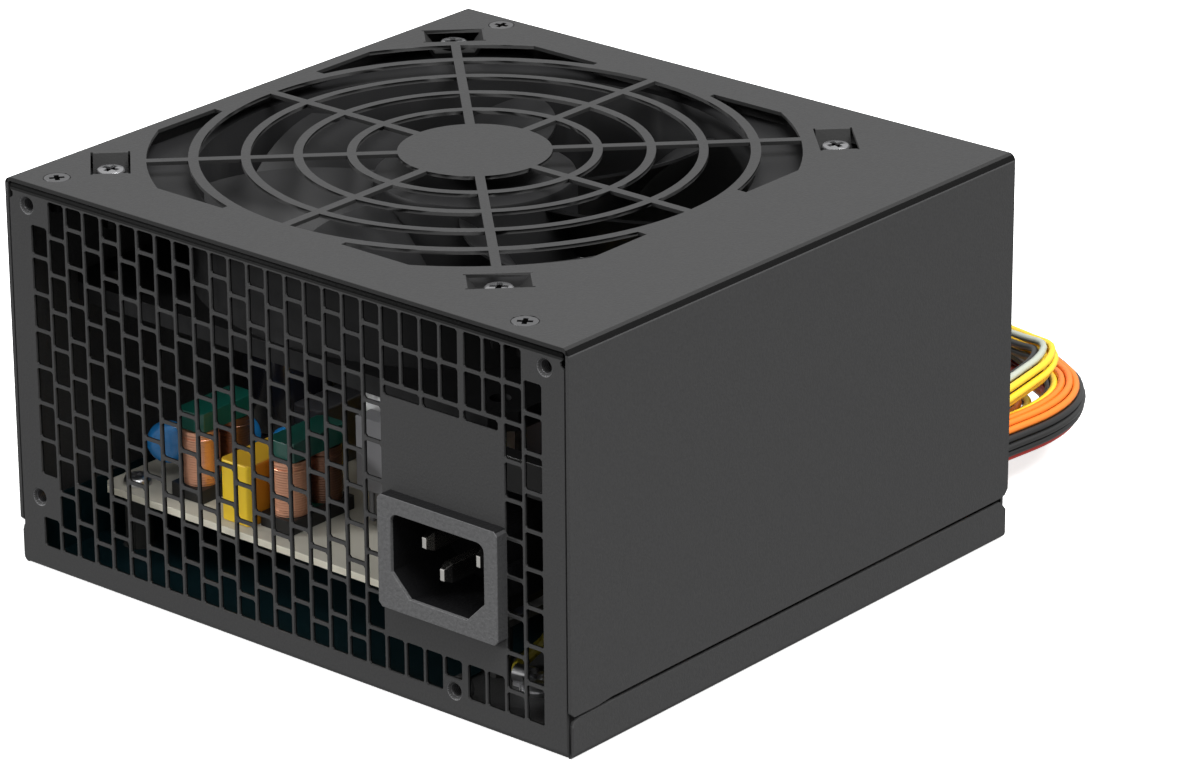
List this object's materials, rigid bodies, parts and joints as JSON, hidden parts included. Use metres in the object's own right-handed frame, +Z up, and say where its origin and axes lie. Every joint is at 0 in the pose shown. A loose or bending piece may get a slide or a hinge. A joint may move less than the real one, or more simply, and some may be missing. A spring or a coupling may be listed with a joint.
{
  "type": "computer power supply unit",
  "caption": "Steel-cased computer power supply with a slotted inlet panel, a ring grille over a turning top fan, a mains inlet, its inner board and a short coiled loom of output leads.",
  "frame": {"origin": "centre of the case's underside, in the plane it rests on", "axes": "+Z up through the fan grille, -Y out of the mains inlet panel, +X to the right when looking at the inlet panel"},
  "size_m": [0.1807, 0.2535, 0.085],
  "materials": {
    "black_steel": "matte black powder coat",
    "dark_screw": "blackened steel",
    "grey_screw": "grey plated steel",
    "black_plastic": "moulded black plastic",
    "steel": "plated steel",
    "magnet": "bonded magnet",
    "brass": "plain",
    "copper": "enamelled copper wire",
    "green_board": "solder mask",
    "white_plastic": "moulded nylon",
    "black_lead": "PVC insulation",
    "inlet_black": "fine grained plastic",
    "nickel": "bright nickel plate",
    "brown_lead": "PVC insulation",
    "blue_lead": "PVC insulation",
    "green_yellow_lead": "PVC insulation",
    "cream_board": "phenolic paper board",
    "teal_sheet": "insulating film",
    "yellow_film": "yellow tape and film case",
    "blue_disc": "epoxy dipped",
    "green_core": "coated ferrite ring",
    "black_part": "moulded epoxy",
    "can_sleeve": "shrink sleeve",
    "aluminium": "plain extruded",
    "ferrite": "ground ferrite",
    "yellow_core": "coated iron powder ring",
    "fuse_white": "ceramic tube",
    "thermistor_dark": "epoxy dipped",
    "lead_loom": "loose PVC strands",
    "black_connector": "moulded nylon"
  },
  "bodies": {
    "case": {"top_cover": "black_steel", "base_shell": "black_steel", "cover_screws": "dark_screw", "fan_frame": "black_plastic", "fan_bearing": "brass", "fan_stator": "copper", "fan_board": "green_board", "fan_screws": "grey_screw", "fan_lead": "black_lead", "fan_plug": "white_plastic", "inlet_housing": "inlet_black", "inlet_pins": "nickel", "inlet_live_wire": "brown_lead", "inlet_neutral_wire": "blue_lead", "inlet_earth_wire": "green_yellow_lead", "earth_terminal": "steel", "main_pcb": "cream_board", "insulation_sheet": "teal_sheet", "pcb_standoffs": "brass", "pcb_screws": "steel", "x_capacitors": "yellow_film", "y_capacitors": "blue_disc", "varistor": "blue_disc", "choke_cores": "green_core", "choke_windings": "copper", "choke_bases": "black_part", "bridge_rectifier": "black_part", "bulk_capacitors": "can_sleeve", "primary_heatsink": "aluminium", "secondary_heatsink": "aluminium", "power_transistors": "black_part", "output_rectifiers": "black_part", "transformer_core": "ferrite", "transformer_winding": "yellow_film", "standby_transformer": "yellow_film", "output_choke_core": "yellow_core", "output_choke_winding": "copper", "output_capacitors": "can_sleeve", "mains_fuse": "fuse_white", "thermistor": "thermistor_dark", "control_board": "green_board", "control_chips": "black_part", "cable_grommet": "inlet_black", "cable_ties": "white_plastic", "atx_cable": "lead_loom", "cpu_cable": "lead_loom", "sata_cable": "lead_loom", "peripheral_cable": "lead_loom", "atx_connector": "black_connector", "cpu_connector": "black_connector", "sata_connector": "black_connector", "peripheral_connector": "white_plastic"},
    "rotor": {"fan_rotor": "black_plastic", "fan_shaft": "steel", "fan_magnet_ring": "magnet"}
  },
  "joints": [
    {"name": "fan_spin", "type": "hinge", "parent": "case", "child": "rotor", "pos_m": [-0.0118, 0.002, 0.07], "axis": [0, 0, 1], "continuous": true}
  ]
}
